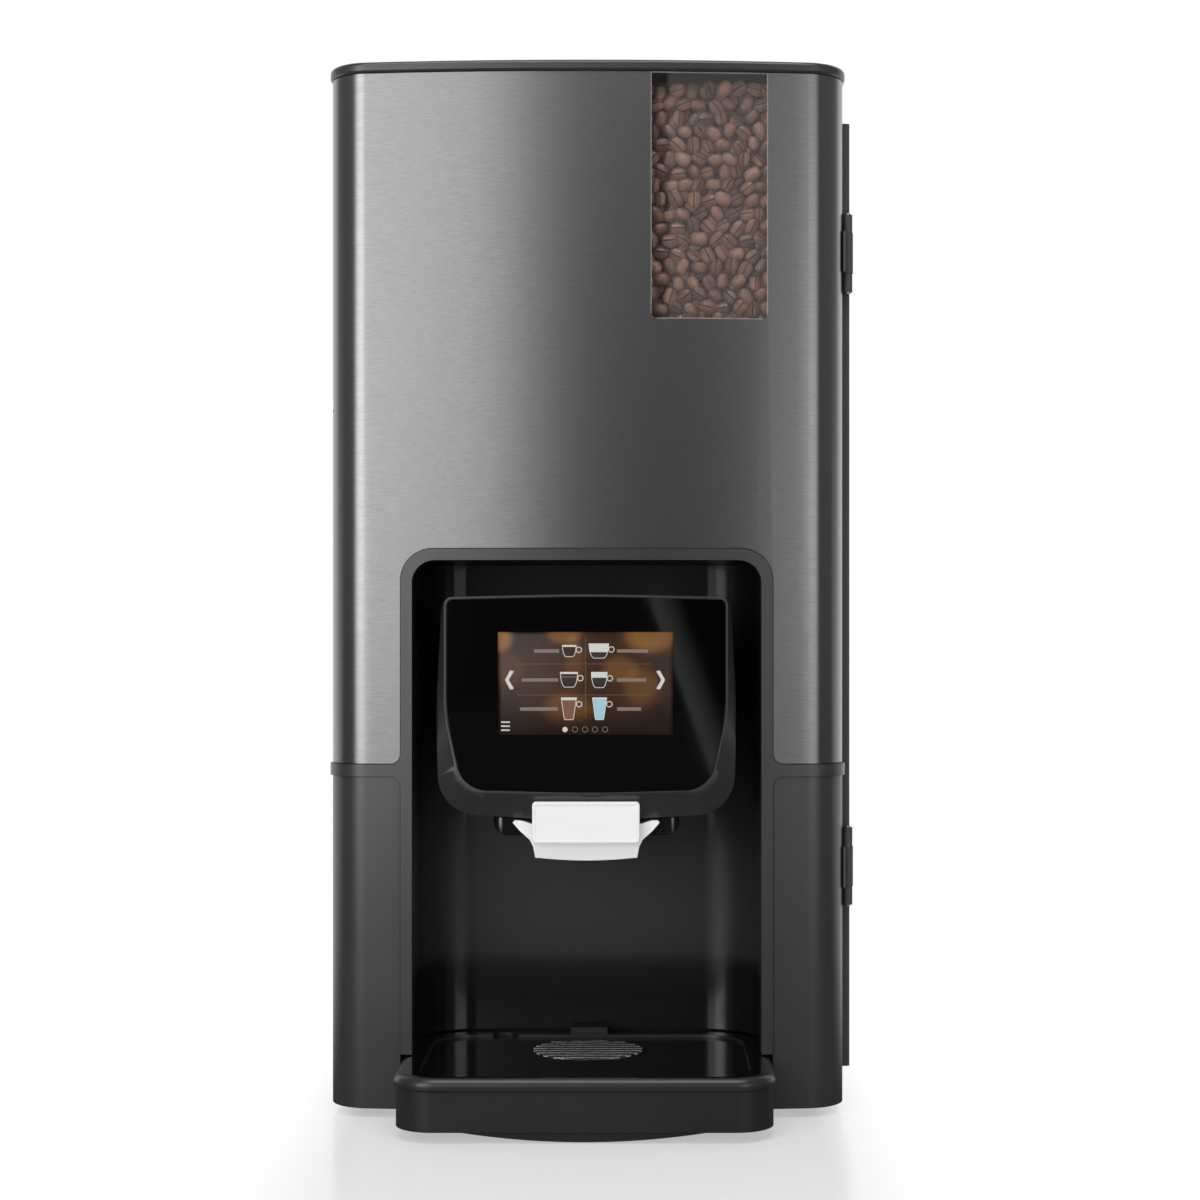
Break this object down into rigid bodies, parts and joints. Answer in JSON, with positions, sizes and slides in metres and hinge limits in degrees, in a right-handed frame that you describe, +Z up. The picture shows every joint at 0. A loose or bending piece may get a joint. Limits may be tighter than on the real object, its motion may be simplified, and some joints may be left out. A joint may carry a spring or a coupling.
{
  "type": "bean-to-cup coffee machine",
  "caption": "Tall counter-top coffee machine with a hinged front door, bean window, touch screen, height-adjustable outlet, cup niche and drip tray.",
  "frame": {"origin": "on the floor under the middle of the whole machine's overall box", "axes": "+X to the right of someone who faces the front, +Y to the back, +Z up; the front looks along -Y"},
  "size_m": [0.3511, 0.502, 0.696],
  "materials": {
    "satin_plastic": "satin",
    "brushed_skin": "brushed dark stainless",
    "gloss_black": "gloss",
    "satin_black": "satin",
    "black_plastic": "matt",
    "clear_plastic": "clear",
    "screen_glass": "gloss",
    "display": "lit",
    "white_plastic": "gloss",
    "dark_sheet": "satin",
    "zinc_sheet": "plain",
    "steel": "satin",
    "bright_grille": "polished",
    "aluminium": "cast",
    "brass": "plain",
    "beans": "roasted",
    "grey_plastic": "matt",
    "rubber": "matt",
    "jacket": "foam jacket"
  },
  "bodies": {
    "housing": {"base_plate": "zinc_sheet", "feet": "rubber", "left_side_panel": "dark_sheet", "right_side_panel": "dark_sheet", "back_panel": "dark_sheet", "top_frame": "dark_sheet", "chassis": "zinc_sheet", "hinge_rail": "dark_sheet", "hinge_pins": "steel", "bean_hopper": "clear_plastic", "coffee_beans": "beans", "grinder_housing": "aluminium", "upper_burr": "steel", "grinder_motor": "steel", "brew_frame": "black_plastic", "brew_chamber": "grey_plastic", "brewer_motor": "steel", "boiler": "jacket", "water_pump": "brass", "valve_block": "black_plastic", "water_pipes": "white_plastic", "power_supply": "grey_plastic", "power_inlet": "black_plastic", "water_inlet": "brass", "canister_left": "clear_plastic", "canister_right": "clear_plastic", "product_motors": "black_plastic", "mixing_bowl": "white_plastic", "waste_bin": "black_plastic", "fan_housing": "black_plastic", "panel_screws": "steel"},
    "door": {"door_frame": "dark_sheet", "upper_skin": "brushed_skin", "window_pane": "clear_plastic", "trim_frame": "satin_plastic", "lower_panel_left": "satin_plastic", "lower_panel_right": "satin_plastic", "niche_liner": "gloss_black", "screen_pod": "satin_black", "screen_glass": "screen_glass", "display_module": "display", "tray_carrier": "black_plastic", "hinge_leaves": "dark_sheet", "door_lock": "steel"},
    "lid": {"lid": "satin_plastic"},
    "tray": {"drip_tray": "satin_black"},
    "plate": {"drip_plate": "gloss_black"},
    "grille": {"drip_grille": "bright_grille"},
    "float": {"tray_float": "black_plastic"},
    "outlet": {"outlet_cover": "white_plastic", "outlet_plate": "white_plastic", "outlet_carriage": "black_plastic"},
    "cam": {"lock_cam": "steel"},
    "burr": {"lower_burr": "steel"},
    "fan": {"fan_rotor": "black_plastic"},
    "left_auger": {"auger_left": "white_plastic"},
    "right_auger": {"auger_right": "white_plastic"},
    "whipper": {"whipper_rotor": "grey_plastic"},
    "piston": {"brew_piston": "aluminium"},
    "spindle": {"brew_spindle": "steel"}
  },
  "joints": [
    {"name": "door_hinge", "type": "hinge", "parent": "housing", "child": "door", "pos_m": [0.1749, -0.141, 0], "axis": [0, 0, 1], "range_deg": [0, 110]},
    {"name": "lid_hinge", "type": "hinge", "parent": "housing", "child": "lid", "pos_m": [0, 0.214, 0.6927], "axis": [-1, 0, 0], "range_deg": [0, 80]},
    {"name": "tray_slide", "type": "slide", "parent": "door", "child": "tray", "axis": [0, -1, 0], "range_m": [0, 0.16]},
    {"name": "plate_lift", "type": "slide", "parent": "tray", "child": "plate", "axis": [0, 0, 1], "range_m": [0, 0.05]},
    {"name": "grille_lift", "type": "slide", "parent": "plate", "child": "grille", "axis": [0, 0, 1], "range_m": [0, 0.04]},
    {"name": "float_rise", "type": "slide", "parent": "tray", "child": "float", "axis": [0, 0, 1], "range_m": [0, 0.008]},
    {"name": "outlet_slide", "type": "slide", "parent": "door", "child": "outlet", "axis": [0, 0, -1], "range_m": [0, 0.05]},
    {"name": "lock_turn", "type": "hinge", "parent": "door", "child": "cam", "pos_m": [-0.171, -0.146, 0.47], "axis": [1, 0, 0], "range_deg": [0, 90]},
    {"name": "burr_spin", "type": "hinge", "parent": "housing", "child": "burr", "pos_m": [0.08, -0.015, 0.4], "axis": [0, 0, 1], "continuous": true},
    {"name": "fan_spin", "type": "hinge", "parent": "housing", "child": "fan", "pos_m": [0.095, 0.225, 0.573], "axis": [0, 1, 0], "continuous": true},
    {"name": "left_auger_spin", "type": "hinge", "parent": "housing", "child": "left_auger", "pos_m": [-0.09, 0, 0.462], "axis": [0, 1, 0], "continuous": true},
    {"name": "right_auger_spin", "type": "hinge", "parent": "housing", "child": "right_auger", "pos_m": [-0.044, 0, 0.462], "axis": [0, 1, 0], "continuous": true},
    {"name": "whipper_spin", "type": "hinge", "parent": "housing", "child": "whipper", "pos_m": [-0.067, -0.092, 0.396], "axis": [0, 1, 0], "continuous": true},
    {"name": "piston_press", "type": "slide", "parent": "housing", "child": "piston", "axis": [0, 0, -1], "range_m": [0, 0.045]},
    {"name": "spindle_turn", "type": "hinge", "parent": "housing", "child": "spindle", "pos_m": [-0.005, 0.024, 0.3], "axis": [0, 0, 1], "range_deg": [0, 1080]}
  ],
  "couplings": [
    {"joint": "spindle_turn", "follows": "piston_press", "rad_per_m": 418.87}
  ]
}
